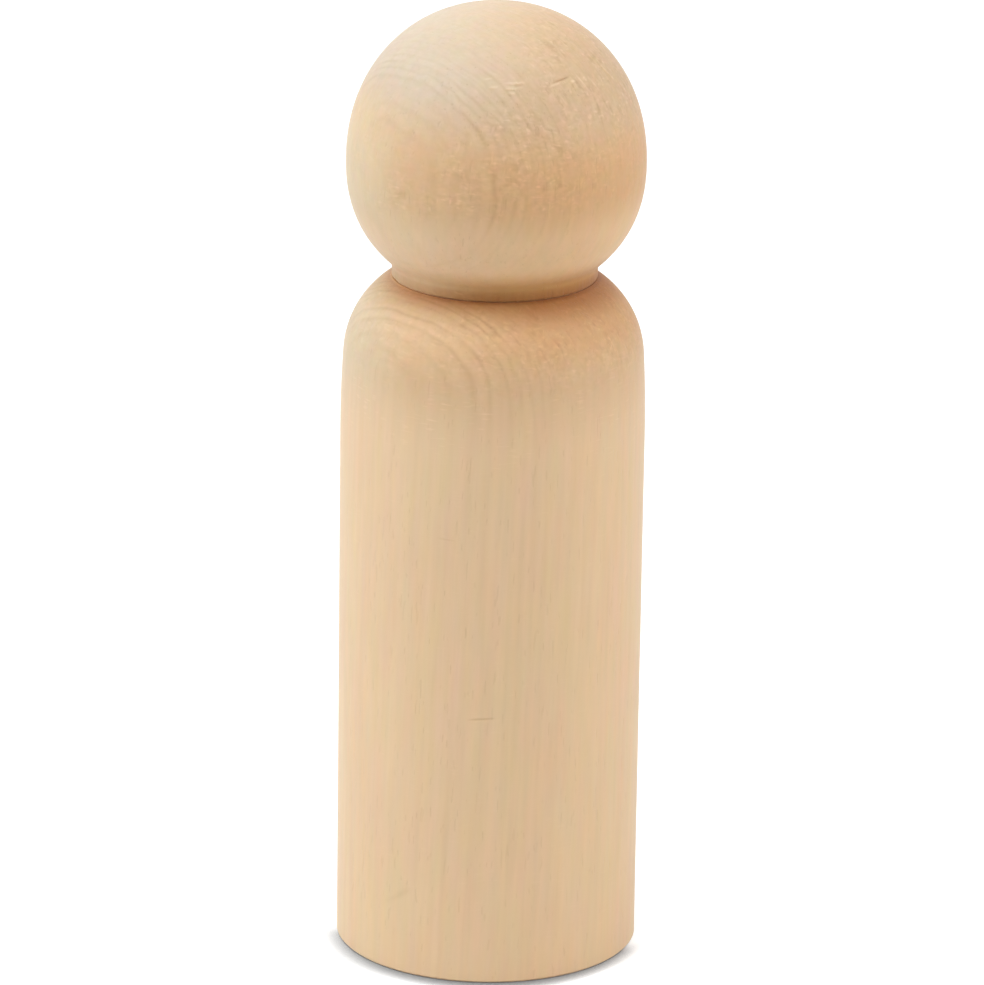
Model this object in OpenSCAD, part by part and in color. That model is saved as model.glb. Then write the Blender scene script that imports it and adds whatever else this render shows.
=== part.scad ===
// Peg doll: a turned wooden body with a ball head, glued in by a tenon.
// Millimetres, +Z up. The origin is the centre of the base.

/* [Overall] */
// Height of the whole doll, from the base to the crown
doll_h = 89; // [86:0.5:96]

/* [Body] */
// Diameter of the straight part of the body
body_d = 28; // [25:0.5:32]
// Height of the body, up to the flat seat that the neck stands on
body_h = 63.8; // [56:0.1:66]
// Radius of the rounded shoulder
shoulder_r = 8.8; // [7:0.1:11]
// Radius of the long soft curve between the straight side and the shoulder
ease_r = 120; // [60:5:200]
// Angle that the soft curve turns through, in degrees
ease_angle = 3.6; // [0.5:0.1:6]
// Radius of the rounded edge of the base
base_edge_r = 0.2; // [0.2:0.1:1.5]

/* [Head] */
// Largest diameter of the head
head_d = 27.3; // [24:0.1:30]
// Drop from the widest level of the head to the lowest point that its underside aims at
underside_h = 12.2; // [11:0.1:14]
// Fullness of the crown's curve: 2 is an ellipse, and more is squarer
crown_fullness = 2.12; // [2:0.02:2.4]
// Fullness of the underside's curve
underside_fullness = 2.2; // [2:0.02:2.4]

/* [Neck] */
// Diameter of the neck
neck_d = 18.8; // [15:0.1:21]
// Height of the neck, from the body's seat to the underside of the head
neck_h = 1.3; // [0.8:0.1:3]
// Reach of the soft corner between the neck and the head
neck_soften = 0.5; // [0.2:0.1:0.7]
// Bevel at the foot of the neck, which shows as a fine dark seam
seam_bevel = 0.15; // [0.1:0.05:0.5]

/* [Tenon and socket] */
// Diameter of the tenon under the neck
tenon_d = 10; // [6:0.5:14]
// Length of the tenon
tenon_l = 16; // [8:0.5:24]
// Bevel at the tip of the tenon
tenon_bevel = 0.8; // [0.3:0.1:1.5]
// Room for glue between the tenon and the wall of the socket, on each side
glue_gap = 0.1; // [0.05:0.05:0.3]
// Room for glue between the tip of the tenon and the floor of the socket
glue_room = 1; // [0.5:0.1:2]
// Bevel at the mouth of the socket
mouth_bevel = 0.5; // [0.3:0.1:1]

/* [Hidden] */

wood_color = [0.87, 0.75, 0.6];
turn_steps = 180;
round_steps = 6;
curve_steps = 24;

body_r = body_d / 2;
head_r = head_d / 2;
neck_r = neck_d / 2;
tenon_r = tenon_d / 2;

// The shoulder's arc starts where the soft curve ends and stops at the neck
shoulder_x = body_r - ease_r + (ease_r - shoulder_r) * cos(ease_angle);
shoulder_end_angle = acos((neck_r - shoulder_x) / shoulder_r);
shoulder_z = body_h - shoulder_r * sin(shoulder_end_angle);
ease_x = body_r - ease_r;
ease_z = shoulder_z - (ease_r - shoulder_r) * sin(ease_angle);

// The underside of the head reaches the neck's radius at the top of the neck
neck_top = body_h + neck_h;
neck_share = neck_r / head_r;
neck_angle = acos(pow(neck_share, underside_fullness / 2));
head_z = neck_top + underside_h * pow(sin(neck_angle), 2 / underside_fullness);
crown_h = doll_h - head_z;
soften_angle = neck_angle - asin(neck_soften / underside_h);

tenon_tip = body_h - tenon_l;
socket_r = tenon_r + glue_gap;
socket_floor = tenon_tip - glue_room;

// Points of an arc in steps, from one angle to another, without its start
function arc(center_x, center_z, r, from, to, steps) =
    [for (i = [1:steps])
        let (a = from + (to - from) * i / steps)
        [center_x + r * cos(a), center_z + r * sin(a)]];

// A point on a quarter of a full curve between a width and a rise
function full_point(width, rise, fullness, a) =
    [width * pow(cos(a), 2 / fullness), rise * pow(sin(a), 2 / fullness)];

// Points of a bend that leaves one point and reaches another, drawn towards a corner
function bend(start, corner, end, steps) =
    [for (i = [0:steps])
        let (t = i / steps)
        (1 - t) * (1 - t) * start + 2 * t * (1 - t) * corner + t * t * end];

// A point on the underside of the head, at an angle below its widest level
function underside_point(a) =
    let (p = full_point(head_r, underside_h, underside_fullness, a))
    [p.x, head_z - p.y];

// A point on the crown, at an angle above the widest level
function crown_point(a) =
    let (p = full_point(head_r, crown_h, crown_fullness, a))
    [p.x, head_z + p.y];

// Half outline of the body: base edge, side, soft curve, shoulder and the drilled socket
body_outline = concat(
    [[0, 0],
     [body_r - base_edge_r, 0]],
    arc(body_r - base_edge_r, base_edge_r, base_edge_r, -90, 0, round_steps),
    [[body_r, ease_z]],
    arc(ease_x, ease_z, ease_r, 0, ease_angle, round_steps),
    arc(shoulder_x, shoulder_z, shoulder_r, ease_angle, shoulder_end_angle, curve_steps),
    [[socket_r + mouth_bevel, body_h],
     [socket_r, body_h - mouth_bevel],
     [socket_r, socket_floor],
     [0, socket_floor]]
);

// Half outline of the head: tenon, neck, soft corner, underside and crown
head_outline = concat(
    [[0, tenon_tip],
     [tenon_r - tenon_bevel, tenon_tip],
     [tenon_r, tenon_tip + tenon_bevel],
     [tenon_r, body_h],
     [neck_r - seam_bevel, body_h],
     [neck_r, body_h + seam_bevel]],
    bend([neck_r, neck_top - neck_soften], [neck_r, neck_top], underside_point(soften_angle), round_steps),
    [for (i = [1:curve_steps]) underside_point(soften_angle * (1 - i / curve_steps))],
    [for (i = [1:curve_steps - 1]) crown_point(90 * i / curve_steps)],
    [[0, doll_h]]
);

// The long body, with the blind socket in its top
module body() {
    color(wood_color)
        rotate_extrude($fn = turn_steps)
            polygon(body_outline);
}

// The ball head, in one piece with its neck and tenon
module head() {
    color(wood_color)
        rotate_extrude($fn = turn_steps)
            polygon(head_outline);
}

body();
head();
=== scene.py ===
"""A turned wooden peg doll: its two pieces of wood and the small studio that they stand in."""

from math import acos, asin, cos, exp, hypot, pi, radians, sin

import bpy
from bpy.props import FloatProperty, FloatVectorProperty, PointerProperty
from mathutils import Color, Matrix, Vector, noise


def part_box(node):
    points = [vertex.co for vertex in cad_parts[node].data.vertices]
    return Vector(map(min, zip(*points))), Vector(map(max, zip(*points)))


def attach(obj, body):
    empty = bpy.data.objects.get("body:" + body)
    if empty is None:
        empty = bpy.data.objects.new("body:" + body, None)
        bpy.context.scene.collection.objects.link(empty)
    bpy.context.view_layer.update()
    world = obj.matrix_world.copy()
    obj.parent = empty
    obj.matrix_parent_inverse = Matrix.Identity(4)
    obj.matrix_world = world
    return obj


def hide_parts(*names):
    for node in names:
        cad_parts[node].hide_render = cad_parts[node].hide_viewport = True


bl_info = {
    "name": "Peg Doll",
    "version": (1, 0, 0),
    "blender": (4, 5, 0),
    "location": "View3D > Sidebar > Peg Doll",
    "description": "Makes a turned wooden peg doll and the small studio that it stands in",
    "category": "Add Mesh",
}

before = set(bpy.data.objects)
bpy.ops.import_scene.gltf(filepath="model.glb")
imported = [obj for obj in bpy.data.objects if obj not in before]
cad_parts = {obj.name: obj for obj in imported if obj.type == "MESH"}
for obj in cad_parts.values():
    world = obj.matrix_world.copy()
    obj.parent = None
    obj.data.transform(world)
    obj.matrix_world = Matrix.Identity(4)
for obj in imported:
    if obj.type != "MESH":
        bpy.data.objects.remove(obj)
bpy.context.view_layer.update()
BODY_LOW, BODY_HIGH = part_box("body")
HEAD_LOW, HEAD_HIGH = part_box("head")
MM = 0.001
WHITE = (1.0, 1.0, 1.0)


def length(name, description, default):
    """A size in metres that the sidebar shows in the scene's units."""
    return FloatProperty(name=name, description=description, default=default, unit="LENGTH", precision=5)


def angle(name, description, default):
    """An angle that the sidebar shows in degrees."""
    return FloatProperty(name=name, description=description, default=default, subtype="ANGLE")


def plain(name, description, default):
    """A number without a unit."""
    return FloatProperty(name=name, description=description, default=default, precision=3)


def colour(name, description, default):
    """A linear colour that the sidebar shows as a swatch."""
    return FloatVectorProperty(
        name=name, description=description, default=default, subtype="COLOR", min=0, max=1
    )


class DollShape(bpy.types.PropertyGroup):
    """The sizes of the two turned pieces."""

    body_width: length("Body width", "Diameter of the straight side", BODY_HIGH.x - BODY_LOW.x)
    body_height: length("Body height", "Height of the flat seat for the neck", BODY_HIGH.z)
    shoulder_radius: length("Shoulder", "Radius of the rounded shoulder", 8.8 * MM)
    ease_radius: length("Soft curve", "Radius of the curve between side and shoulder", 120 * MM)
    ease_angle: angle("Soft curve's turn", "Angle that the soft curve turns through", radians(3.6))
    base_edge: length("Base edge", "Radius of the rounded edge of the base", 0.2 * MM)
    head_width: length("Head width", "Largest diameter of the head", HEAD_HIGH.x - HEAD_LOW.x)
    head_top: length("Crown", "Height of the crown above the floor", HEAD_HIGH.z)
    underside_drop: length("Underside", "Drop from the widest level to the underside's aim", 12.2 * MM)
    crown_fullness: plain("Crown fullness", "2 is an ellipse, and more is squarer", 2.12)
    underside_fullness: plain("Underside fullness", "2 is an ellipse, and more is squarer", 2.2)
    neck_width: length("Neck width", "Diameter of the neck", 18.8 * MM)
    neck_height: length("Neck height", "Height of the neck above the seat", 1.3 * MM)
    neck_soften: length("Neck corner", "Reach of the soft corner under the head", 0.5 * MM)
    seam_bevel: length("Seam bevel", "Bevel at the foot of the neck", 0.15 * MM)
    tenon_width: length("Tenon width", "Diameter of the tenon", 10 * MM)
    tenon_tip: length("Tenon tip", "Height of the tenon's lower end", HEAD_LOW.z)
    tenon_bevel: length("Tenon bevel", "Bevel at the tenon's lower end", 0.8 * MM)
    glue_gap: length("Glue gap", "Room between the tenon and the socket's wall", 0.1 * MM)
    glue_room: length("Glue room", "Room between the tenon's end and the socket's floor", 1 * MM)
    mouth_bevel: length("Mouth bevel", "Bevel at the mouth of the socket", 0.5 * MM)


class DollSurface(bpy.types.PropertyGroup):
    """How finely the pieces are meshed, and the faint hollows that sanding left."""

    fine_step: length("Fine step", "Mesh step at a mark", 0.09 * MM)
    skin_step: length("Skin step", "Mesh step elsewhere on the skin", 0.33 * MM)
    hidden_step: length("Hidden step", "Mesh step inside the joint", 0.8 * MM)
    mark_reach: length("Reach of a mark", "Distance over which the mesh is finer", 1.6 * MM)
    hollow_depth: length("Hollows", "Depth of the faint hollows", 0.02 * MM)
    hollow_width: length("Hollow width", "Width of a hollow round the doll", 5 * MM)
    hollow_height: length("Hollow height", "Height of a hollow along the doll", 9 * MM)
    hollow_fade: length("Hollow fade", "Distance from an edge over which the hollows fade", 1.5 * MM)


class WoodLook(bpy.types.PropertyGroup):
    """Pale, close-grained wood, cut from the log so that the pith lies behind the doll."""

    side_colour: colour("Side grain", "Colour along the fibres", (0.785, 0.545, 0.325))
    cut_colour: colour("Cut grain", "Colour where the head is cut across the fibres", (0.688, 0.435, 0.234))
    # The shoulder's colour is partly its cut grain and partly painted shade from the head above it
    shoulder_colour: colour("Shoulder", "Colour of the shoulder's cut grain", (0.655, 0.42, 0.23))
    # Painted light: the shoulder and the head are paler at the left, where the light falls
    lit_shoulder_colour: colour("Pale shoulder", "Its colour at the left", (0.64, 0.48, 0.305))
    # Painted shade: the shoulder and the crown are darker and warmer at the right, away from the light
    shaded_shoulder_colour: colour("Warm shoulder", "Its colour at the right", (0.61, 0.345, 0.16))
    # The crown's colour is partly its end grain and partly painted light, paler on top where the light falls
    crown_colour: colour("Crown", "Colour where the fibres end square to the skin", (0.568, 0.447, 0.322))
    shaded_crown_colour: colour("Warm crown", "Colour of the crown at the right", (0.585, 0.4, 0.24))
    lit_head_colour: colour("Pale head", "Colour of the head's left", (0.7, 0.52, 0.32))
    # Painted reflected light: the warm light that the shoulder throws back on the head's lower front and
    # right
    head_reflected_light_tint: colour("Warm head", "Tint of the head's front and right", (1.0, 0.93, 0.83))
    # Painted shade on the neck under the head's overhang
    neck_shade_tint: colour("Neck", "Tint of the burnished neck", (0.71, 0.54, 0.285))
    # Painted shade on the shoulder at the neck's foot, lighter at the left and darker at the right
    left_foot_shade_tint: colour("Left foot", "Tint of the shoulder left of the neck", (0.82, 0.75, 0.6))
    right_foot_shade_tint: colour("Right foot", "Tint of the shoulder right of the neck", (0.7, 0.515, 0.31))
    # Painted shadow in the groove where the shoulder rises to the neck
    groove_shade_tint: colour("Groove", "Tint of the shoulder's last rise to the neck", (0.88, 0.68, 0.56))
    # Painted light: the seam's left and right ends are painted paler and orange
    seam_side_light_colour: colour("Seam's sides", "Colour of the seam at its left and right", (0.88, 0.52, 0.2))
    # Painted shade along the crease of the seam between the two pieces
    seam_shade_tint: colour("Seam", "Tint of the dark edge of the joint", (0.75, 0.63, 0.48))
    yellow_tint: colour("Yellow tint", "Tint of the wood's yellower patches", (0.99, 1.0, 0.96))
    pink_tint: colour("Pink tint", "Tint of the wood's pinker patches", (1.0, 0.97, 0.965))
    mottle: colour("Mottle", "How much red, green and blue waver by themselves", (0.1, 0.06, 0.18))
    cut_slope: plain("Cut slope", "Steepness of the head at which side grain turns to cut grain", 0.35)
    # Between these heights the side turns to the shoulder's colour, which holds painted shade
    shoulder_from: length("Shoulder from", "Height at which the side starts to turn darker", 50 * MM)
    shoulder_to: length("Shoulder to", "Height at which it has the shoulder's colour", 60 * MM)
    warm_reach: length("Warm reach", "Half width of the change from left to right", 7 * MM)
    # The painted light at the left spans these
    pale_from: length("Pale from", "How far left the shoulder and the head start to be pale", 7 * MM)
    pale_to: length("Pale to", "How far left they are palest", 12.5 * MM)
    # These place the painted shade at the neck, at its foot, in the groove and along the seam, and the
    # painted light at the seam's ends
    neck_reach: length("Neck reach", "How far above the seam the neck's tint fades out", 3.6 * MM)
    neck_full: length("Neck's full tint", "How far above the seam its tint is full", 0.6 * MM)
    neck_foot_reach: length("Neck's foot reach", "How far below the seam its tint fades out", 2.7 * MM)
    seam_above: length("Seam above", "How far above the seam its dark edge fades out", 1.1 * MM)
    seam_below: length("Seam below", "How far below the seam its dark edge fades out", 0.3 * MM)
    neck_left: length("Neck's left", "How far left the neck's tint fades out", 8.5 * MM)
    neck_middle: length("Neck's middle", "How far right the neck has its full tint", 0.5 * MM)
    seam_left: length("Seam's left", "How far left the seam's dark fades out", 9.5 * MM)
    seam_middle: length("Seam's middle", "How far left the seam has its full dark", 2 * MM)
    seam_side_from: length("Seam's sides from", "How far out the seam starts to be paler", 4.5 * MM)
    seam_side_right: plain("Seam's right side", "How pale it is at the right against the left", 0.3)
    seam_side_below: plain("Below the seam's sides", "Share of their colour just below the seam", 0.3)
    foot_turn: length("Foot's turn", "How far out the foot's tint turns from left to right", 2.5 * MM)
    groove_reach: length("Groove reach", "How far below the seam the groove's tint fades out", 1.15 * MM)
    groove_left: length("Groove's place", "How far left of the middle its tint is centred", 5 * MM)
    groove_full: length("Groove's full tint", "How far out from that place its tint is full", 3 * MM)
    groove_out: length("Groove's end", "How far out from that place its tint fades out", 7.5 * MM)
    pith_x: length("Pith X", "Where the pith line meets the floor", 11.18 * MM)
    pith_y: length("Pith Y", "Where the pith line meets the floor", 13.73 * MM)
    pith_lean_x: angle("Pith lean X", "Lean of the pith line towards X", radians(2.4))
    pith_lean_y: angle("Pith lean Y", "Lean of the pith line towards Y", radians(-0.34))
    ring_gap: plain("Ring gap", "Distance between growth rings in mm", 0.68)
    ring_line: plain("Ring line", "Half width of a ring's dark line in mm", 0.16)
    ring_pale_gap: plain("Pale line's gap", "From a ring's dark line to its pale line in mm", 0.27)
    ring_pale_line: plain("Pale line", "Half width of a ring's pale line in mm", 0.26)
    ring_band: plain("Ring band", "Half width of the soft band round a ring in mm", 0.35)
    ring_waver: plain("Ring waver", "How far a ring strays from its circle in mm", 0.16)
    ring_drift: plain("Ring drift", "How unevenly the rings are spaced", 1.5)
    ring_strength: plain("Ring strength", "Darkening at a ring's line along the fibres", 0.012)
    ring_cut_strength: plain("Cut ring strength", "Darkening at a ring's line across the fibres", 0.12)
    ring_pale_strength: plain("Pale ring strength", "Lightening at a ring's pale line on cut grain", 0.058)
    ring_faint: plain("Faint rings", "Strength of the other rings against the strong ones", 0.25)
    ring_crown_fade: plain("Rings' fade", "How much fainter the rings are at the left of the crown", 0.6)
    band_strength: plain("Band strength", "Darkening of the soft band round a ring", 0.02)
    turn_length: plain("Turn length", "Length in mm of a turn of one radian round the pith", 25.0)
    fibre_strength: plain("Fibre strength", "Contrast of the fine fibres", 0.01)
    streak_strength: plain("Streak strength", "Contrast of the long streaks", 0.022)
    pore_strength: plain("Pore strength", "Darkening of the pores", 0.042)
    torn_strength: plain("Cut grain strength", "Contrast of the speckle on cut grain", 0.068)
    # The pale flecks are partly painted glints
    fleck_strength: plain("Fleck strength", "Contrast of the single flecks on cut grain", 0.16)
    year_streak: plain("Year streaks", "Contrast of the fine streaks along the rings", 0.018)
    stroke_strength: plain("Stroke strength", "Contrast of the turning strokes under the shoulder", 0.1)
    stroke_height: length("Strokes' height", "Height at which the turning strokes are clearest", 55 * MM)
    stroke_reach: length("Strokes' reach", "How far above and below they fade out", 7 * MM)
    fleck_wander: plain("Fleck wander", "How far the flecks are bent in mm", 0.35)
    # A mark's bottom is painted darker, in a cut partly as painted shade and in a smudge as its own dirt; a
    # raised scuff is painted paler as a painted highlight
    mark_dark: plain("Dark of a mark", "Darkening at the bottom of the deepest mark", 0.28)
    mark_pale: plain("Pale of a mark", "Lightening on the highest scuff", 0.2)
    torn_lean: plain("Torn lean", "Lean of the border of the head's torn grain", 1.5)
    torn_crown: plain("Torn crown", "Slope above which the border runs straight up", 0.6)
    torn_from: plain("Torn from", "Place of the border of the head's torn grain", -0.69)
    grain_depth: length("Grain depth", "Depth of the bump of fibres and pores", 0.03 * MM)
    roughness: plain("Roughness", "Roughness of the sanded wood", 0.6)
    shine: plain("Shine", "Specular level of the bare wood", 0.45)
    fuzz: plain("Fuzz", "Pale sheen of the finest fibres at a grazing view", 0.2)
    fuzz_spread: plain("Fuzz spread", "How far the sheen reaches in from the edge", 0.35)


class Studio(bpy.types.PropertyGroup):
    """The view of the doll and its soft light."""

    view_distance: length("Distance", "From the aim to the camera", 573.68 * MM)
    view_elevation: angle("Elevation", "Height of the camera above the level", 0.3081)
    view_roll: angle("Roll", "Turn of the camera about its own axis", 0.0144)
    aim_x: length("Aim X", "Where the camera looks", 0.037 * MM)
    aim_z: length("Aim Z", "Where the camera looks", 42.95 * MM)
    lens: plain("Lens", "Focal length in mm, on a 36 mm sensor", 227.61)
    floor_size: length("Floor", "Side of the square floor", 4.0)
    paper: plain("Paper", "Share of the light that the floor sends back", 0.8)
    paper_seen: plain("Paper in view", "Times brighter that the floor shows in view", 1.35)
    paper_glow: plain("Paper glow", "Share of the floor's brightness in view that no shadow takes", 0.35)
    contact_reach: length("Contact shadow", "How far the shadow at the base reaches", 2.1 * MM)
    contact_right_reach: length("Right contact shadow", "The same at the doll's right", 1.5 * MM)
    contact_front: length("Contact's front", "Where that shadow starts to fade to the back", -4.5 * MM)
    contact_back: length("Contact's back", "Where it has faded out", -0.8 * MM)
    contact_turn: plain("Contact's turn", "How much more of it lies at the left than at the right", 0.12)
    contact_depth: plain("Contact depth", "How dark the shadow at the base is", 1.7)
    contact_lean: plain("Contact lean", "How much the shadow falls towards the viewer", 0.95)
    room_light: plain("Room light", "Strength of the even light from all round", 0.2)
    top_light: plain("Top light", "Power of the soft lamp overhead in watts", 0.7)
    left_light: plain("Left light", "Power of the soft lamp at the left in watts", 2.3)
    right_light: plain("Right light", "Power of the soft lamp at the right in watts", 1.5)
    front_left_light: plain("Front left light", "Power of the soft lamp at the front left in watts", 1.25)
    front_right_light: plain("Front right light", "Power of the soft lamp at the front right in watts", 0.95)
    back_light: plain("Back light", "Power of the soft lamp behind the doll in watts", 0.6)


# Outlines. A section is a fine list of (radius, height) points that has the wood at its left

# Into how many steps a plain line, an arc, a soft bend and the long parts of the outlines are divided
LINE_STEPS = 200
ARC_STEPS = 200
BEND_STEPS = 20
SIDE_STEPS = 2000
SHOULDER_STEPS = 600
BALL_STEPS = 1500


def arc(center, radius, start, end, steps=ARC_STEPS):
    """Points of an arc about a centre, from one angle to another."""
    turns = [start + (end - start) * i / steps for i in range(steps + 1)]
    return [(center[0] + radius * cos(t), center[1] + radius * sin(t)) for t in turns]


def line(start, end, steps=LINE_STEPS):
    """Points of a straight line."""
    shares = [i / steps for i in range(steps + 1)]
    return [tuple(a + (b - a) * share for a, b in zip(start, end)) for share in shares]


def bend(start, corner, end):
    """Points of a soft bend that is drawn towards a corner."""
    low = line(start, corner, BEND_STEPS)
    high = line(corner, end, BEND_STEPS)
    shares = [i / BEND_STEPS for i in range(BEND_STEPS + 1)]
    return [tuple(a + (b - a) * share for a, b in zip(p, q)) for p, q, share in zip(low, high, shares)]


def full_point(width, rise, fullness, turn):
    """A point on a quarter of a full curve between a width and a rise."""
    return width * cos(turn) ** (2 / fullness), rise * sin(turn) ** (2 / fullness)


def body_outline(shape):
    """The body's outline: the base, then its skin, then the seat and the socket."""
    body_r = shape.body_width / 2
    base_r = body_r - shape.base_edge
    neck_r = shape.neck_width / 2
    seat = shape.body_height
    ease_reach = shape.ease_radius - shape.shoulder_radius
    ease_x = body_r - shape.ease_radius
    shoulder_x = ease_x + ease_reach * cos(shape.ease_angle)
    shoulder_end = acos((neck_r - shoulder_x) / shape.shoulder_radius)
    shoulder_z = seat - shape.shoulder_radius * sin(shoulder_end)
    ease_z = shoulder_z - ease_reach * sin(shape.ease_angle)
    socket_r = shape.tenon_width / 2 + shape.glue_gap
    mouth_r = socket_r + shape.mouth_bevel
    mouth_z = seat - shape.mouth_bevel
    socket_floor = shape.tenon_tip - shape.glue_room
    side = line((body_r, shape.base_edge), (body_r, ease_z), SIDE_STEPS)
    ease = arc((ease_x, ease_z), shape.ease_radius, 0, shape.ease_angle)
    shoulder_center = (shoulder_x, shoulder_z)
    shoulder = arc(shoulder_center, shape.shoulder_radius, shape.ease_angle, shoulder_end, SHOULDER_STEPS)
    base = [line((0, 0), (base_r, 0))]
    skin = [arc((base_r, shape.base_edge), shape.base_edge, -pi / 2, 0), side + ease[1:] + shoulder[1:]]
    inside = [
        line((neck_r, seat), (mouth_r, seat)),
        line((mouth_r, seat), (socket_r, mouth_z)),
        line((socket_r, mouth_z), (socket_r, socket_floor)),
        line((socket_r, socket_floor), (0, socket_floor)),
    ]
    return (base, False), (skin, True), (inside, False)


def head_outline(shape):
    """The head's outline: the tenon, then the skin of the neck, the underside and the crown."""
    head_r = shape.head_width / 2
    neck_r = shape.neck_width / 2
    foot_r = neck_r - shape.seam_bevel
    tenon_r = shape.tenon_width / 2
    tip_r = tenon_r - shape.tenon_bevel
    tip = shape.tenon_tip
    seat = shape.body_height
    neck_top = seat + shape.neck_height
    neck_turn = acos((neck_r / head_r) ** (shape.underside_fullness / 2))
    head_z = neck_top + shape.underside_drop * sin(neck_turn) ** (2 / shape.underside_fullness)
    soften_turn = neck_turn - asin(shape.neck_soften / shape.underside_drop)

    def underside(turn):
        r, drop = full_point(head_r, shape.underside_drop, shape.underside_fullness, turn)
        return r, head_z - drop

    def crown(turn):
        r, rise = full_point(head_r, shape.head_top - head_z, shape.crown_fullness, turn)
        return r, head_z + rise

    neck = line((neck_r, seat + shape.seam_bevel), (neck_r, neck_top - shape.neck_soften))
    corner = bend((neck_r, neck_top - shape.neck_soften), (neck_r, neck_top), underside(soften_turn))
    ball = [underside(soften_turn * (1 - i / BALL_STEPS)) for i in range(1, BALL_STEPS)]
    ball += [crown(pi / 2 * i / BALL_STEPS) for i in range(BALL_STEPS)] + [(0, shape.head_top)]
    inside = [
        line((0, tip), (tip_r, tip)),
        line((tip_r, tip), (tenon_r, tip + shape.tenon_bevel)),
        line((tenon_r, tip + shape.tenon_bevel), (tenon_r, seat)),
        line((tenon_r, seat), (foot_r, seat)),
    ]
    skin = [line((foot_r, seat), (neck_r, seat + shape.seam_bevel)), neck + corner[1:] + ball]
    return (inside, False), (skin, True)


# Small marks on the skin

# How bluntly a mark ends
END_POWER = 4


class Mark:
    """A short stroke on the skin: a cut or a smudge if its relief is below zero, and else a scuff."""

    def __init__(self, turn, height, radius, run, long, wide, relief):
        self.turn, self.run = radians(turn), radians(run)
        self.height, self.radius = height * MM, radius * MM
        self.long, self.wide, self.relief = long * MM, wide * MM, relief * MM

    def height_at(self, turn, height):
        """How far the skin stands out at a place."""
        across = (turn - self.turn) * self.radius
        up = height - self.height
        along = across * cos(self.run) + up * sin(self.run)
        beside = (up * cos(self.run) - across * sin(self.run)) / self.wide
        return self.relief * exp(-((2 * along / self.long) ** END_POWER) - beside**2)


# The turn round the doll from the front in degrees, the height and the radius in mm, the run in degrees
# from level, then the length, the half width and the relief in mm
HEAD_MARKS = (
    Mark(32.6, 84.25, 10.5, 10, 1.9, 0.09, -0.08),
    Mark(28.6, 83.97, 10.7, 14, 1.5, 0.1, 0.045),
    Mark(39.0, 84.0, 10.5, 5, 0.7, 0.12, 0.03),
    Mark(44.4, 83.75, 10.9, -64, 1.8, 0.11, 0.04),
    Mark(30.7, 82.7, 11.5, -61, 1.0, 0.1, 0.03),
    Mark(51.0, 83.6, 10.9, -64, 1.2, 0.1, 0.03),
    Mark(66.0, 84.0, 10.6, -60, 1.8, 0.12, 0.035),
    Mark(73.0, 82.4, 11.7, -62, 1.4, 0.12, 0.03),
    Mark(8.3, 84.28, 10.4, 0, 1.8, 0.08, 0.04),
    Mark(6.6, 83.86, 10.8, -2, 1.2, 0.08, 0.04),
    Mark(10.0, 84.05, 10.6, 3, 0.7, 0.08, -0.03),
    Mark(-4.5, 84.58, 10.2, 10, 0.7, 0.09, 0.03),
    Mark(-2.0, 83.95, 10.7, 0, 0.9, 0.09, 0.03),
    Mark(6.5, 83.5, 11.0, 0, 0.7, 0.09, 0.03),
)
BODY_MARKS = (
    Mark(-2.4, 25.75, 14, 5, 2.6, 0.11, -0.05),
    Mark(-16.5, 42.7, 14, -4, 1.6, 0.09, -0.03),
    Mark(-38.0, 7.1, 14, 30, 2.2, 0.35, -0.023),
    Mark(-32.5, 8.0, 14, 32, 1.8, 0.4, -0.026),
)


# Share of a mark's reach over which the mesh has its finest step
FINEST_SHARE = 0.5
# The least turn between two faces that shows as an edge
EDGE_TURN = radians(30)


def nearest(value, values):
    """Distance from a value to the nearest of some others."""
    return min(abs(value - other) for other in values)


def step_near(surface, distance):
    """The mesh step, which grows from fine to coarse with the distance from a mark."""
    share = min(1.0, max(0.0, distance / surface.mark_reach - FINEST_SHARE))
    return surface.fine_step + (surface.skin_step - surface.fine_step) * share


def sharp_marks(surface, marks):
    """The marks that are too narrow for the plain mesh step."""
    return [mark for mark in marks if mark.wide < surface.skin_step]


def turns_round(surface, marks):
    """Angles all round the doll, closer together at the marks."""
    radius = max(mark.radius for mark in marks)
    turns = [-pi]
    while turns[-1] < pi:
        distance = nearest(turns[-1], [mark.turn for mark in marks]) * radius
        turns.append(turns[-1] + step_near(surface, distance) / radius)
    stretch = 2 * pi / (turns[-1] + pi)
    return [(turn + pi) * stretch - pi for turn in turns[:-1]]


def thinned(points, step_at):
    """The points of a fine section that lie a step apart, with both its ends."""
    kept, run = [points[0]], 0.0
    for before, here in zip(points, points[1:]):
        run += hypot(here[0] - before[0], here[1] - before[1])
        if run >= step_at(here):
            kept.append(here)
            run = 0.0
    if kept[-1] != points[-1]:
        kept.append(points[-1])
    return kept


def outward(points, i):
    """The direction away from the wood at a point of a section."""
    before, after = points[max(0, i - 1)], points[min(len(points) - 1, i + 1)]
    run, rise = after[0] - before[0], after[1] - before[1]
    size = hypot(run, rise)
    return rise / size, -run / size


def joined(low, high):
    """Faces between two rings of vertices, where a ring of one is a point on the axis."""
    faces = []
    for i in range(max(len(low), len(high))):
        j = (i + 1) % max(len(low), len(high))
        if len(low) == 1:
            faces.append((low[0], high[j], high[i]))
        elif len(high) == 1:
            faces.append((low[i], low[j], high[0]))
        else:
            faces.append((low[i], low[j], high[j], high[i]))
    return faces


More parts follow.
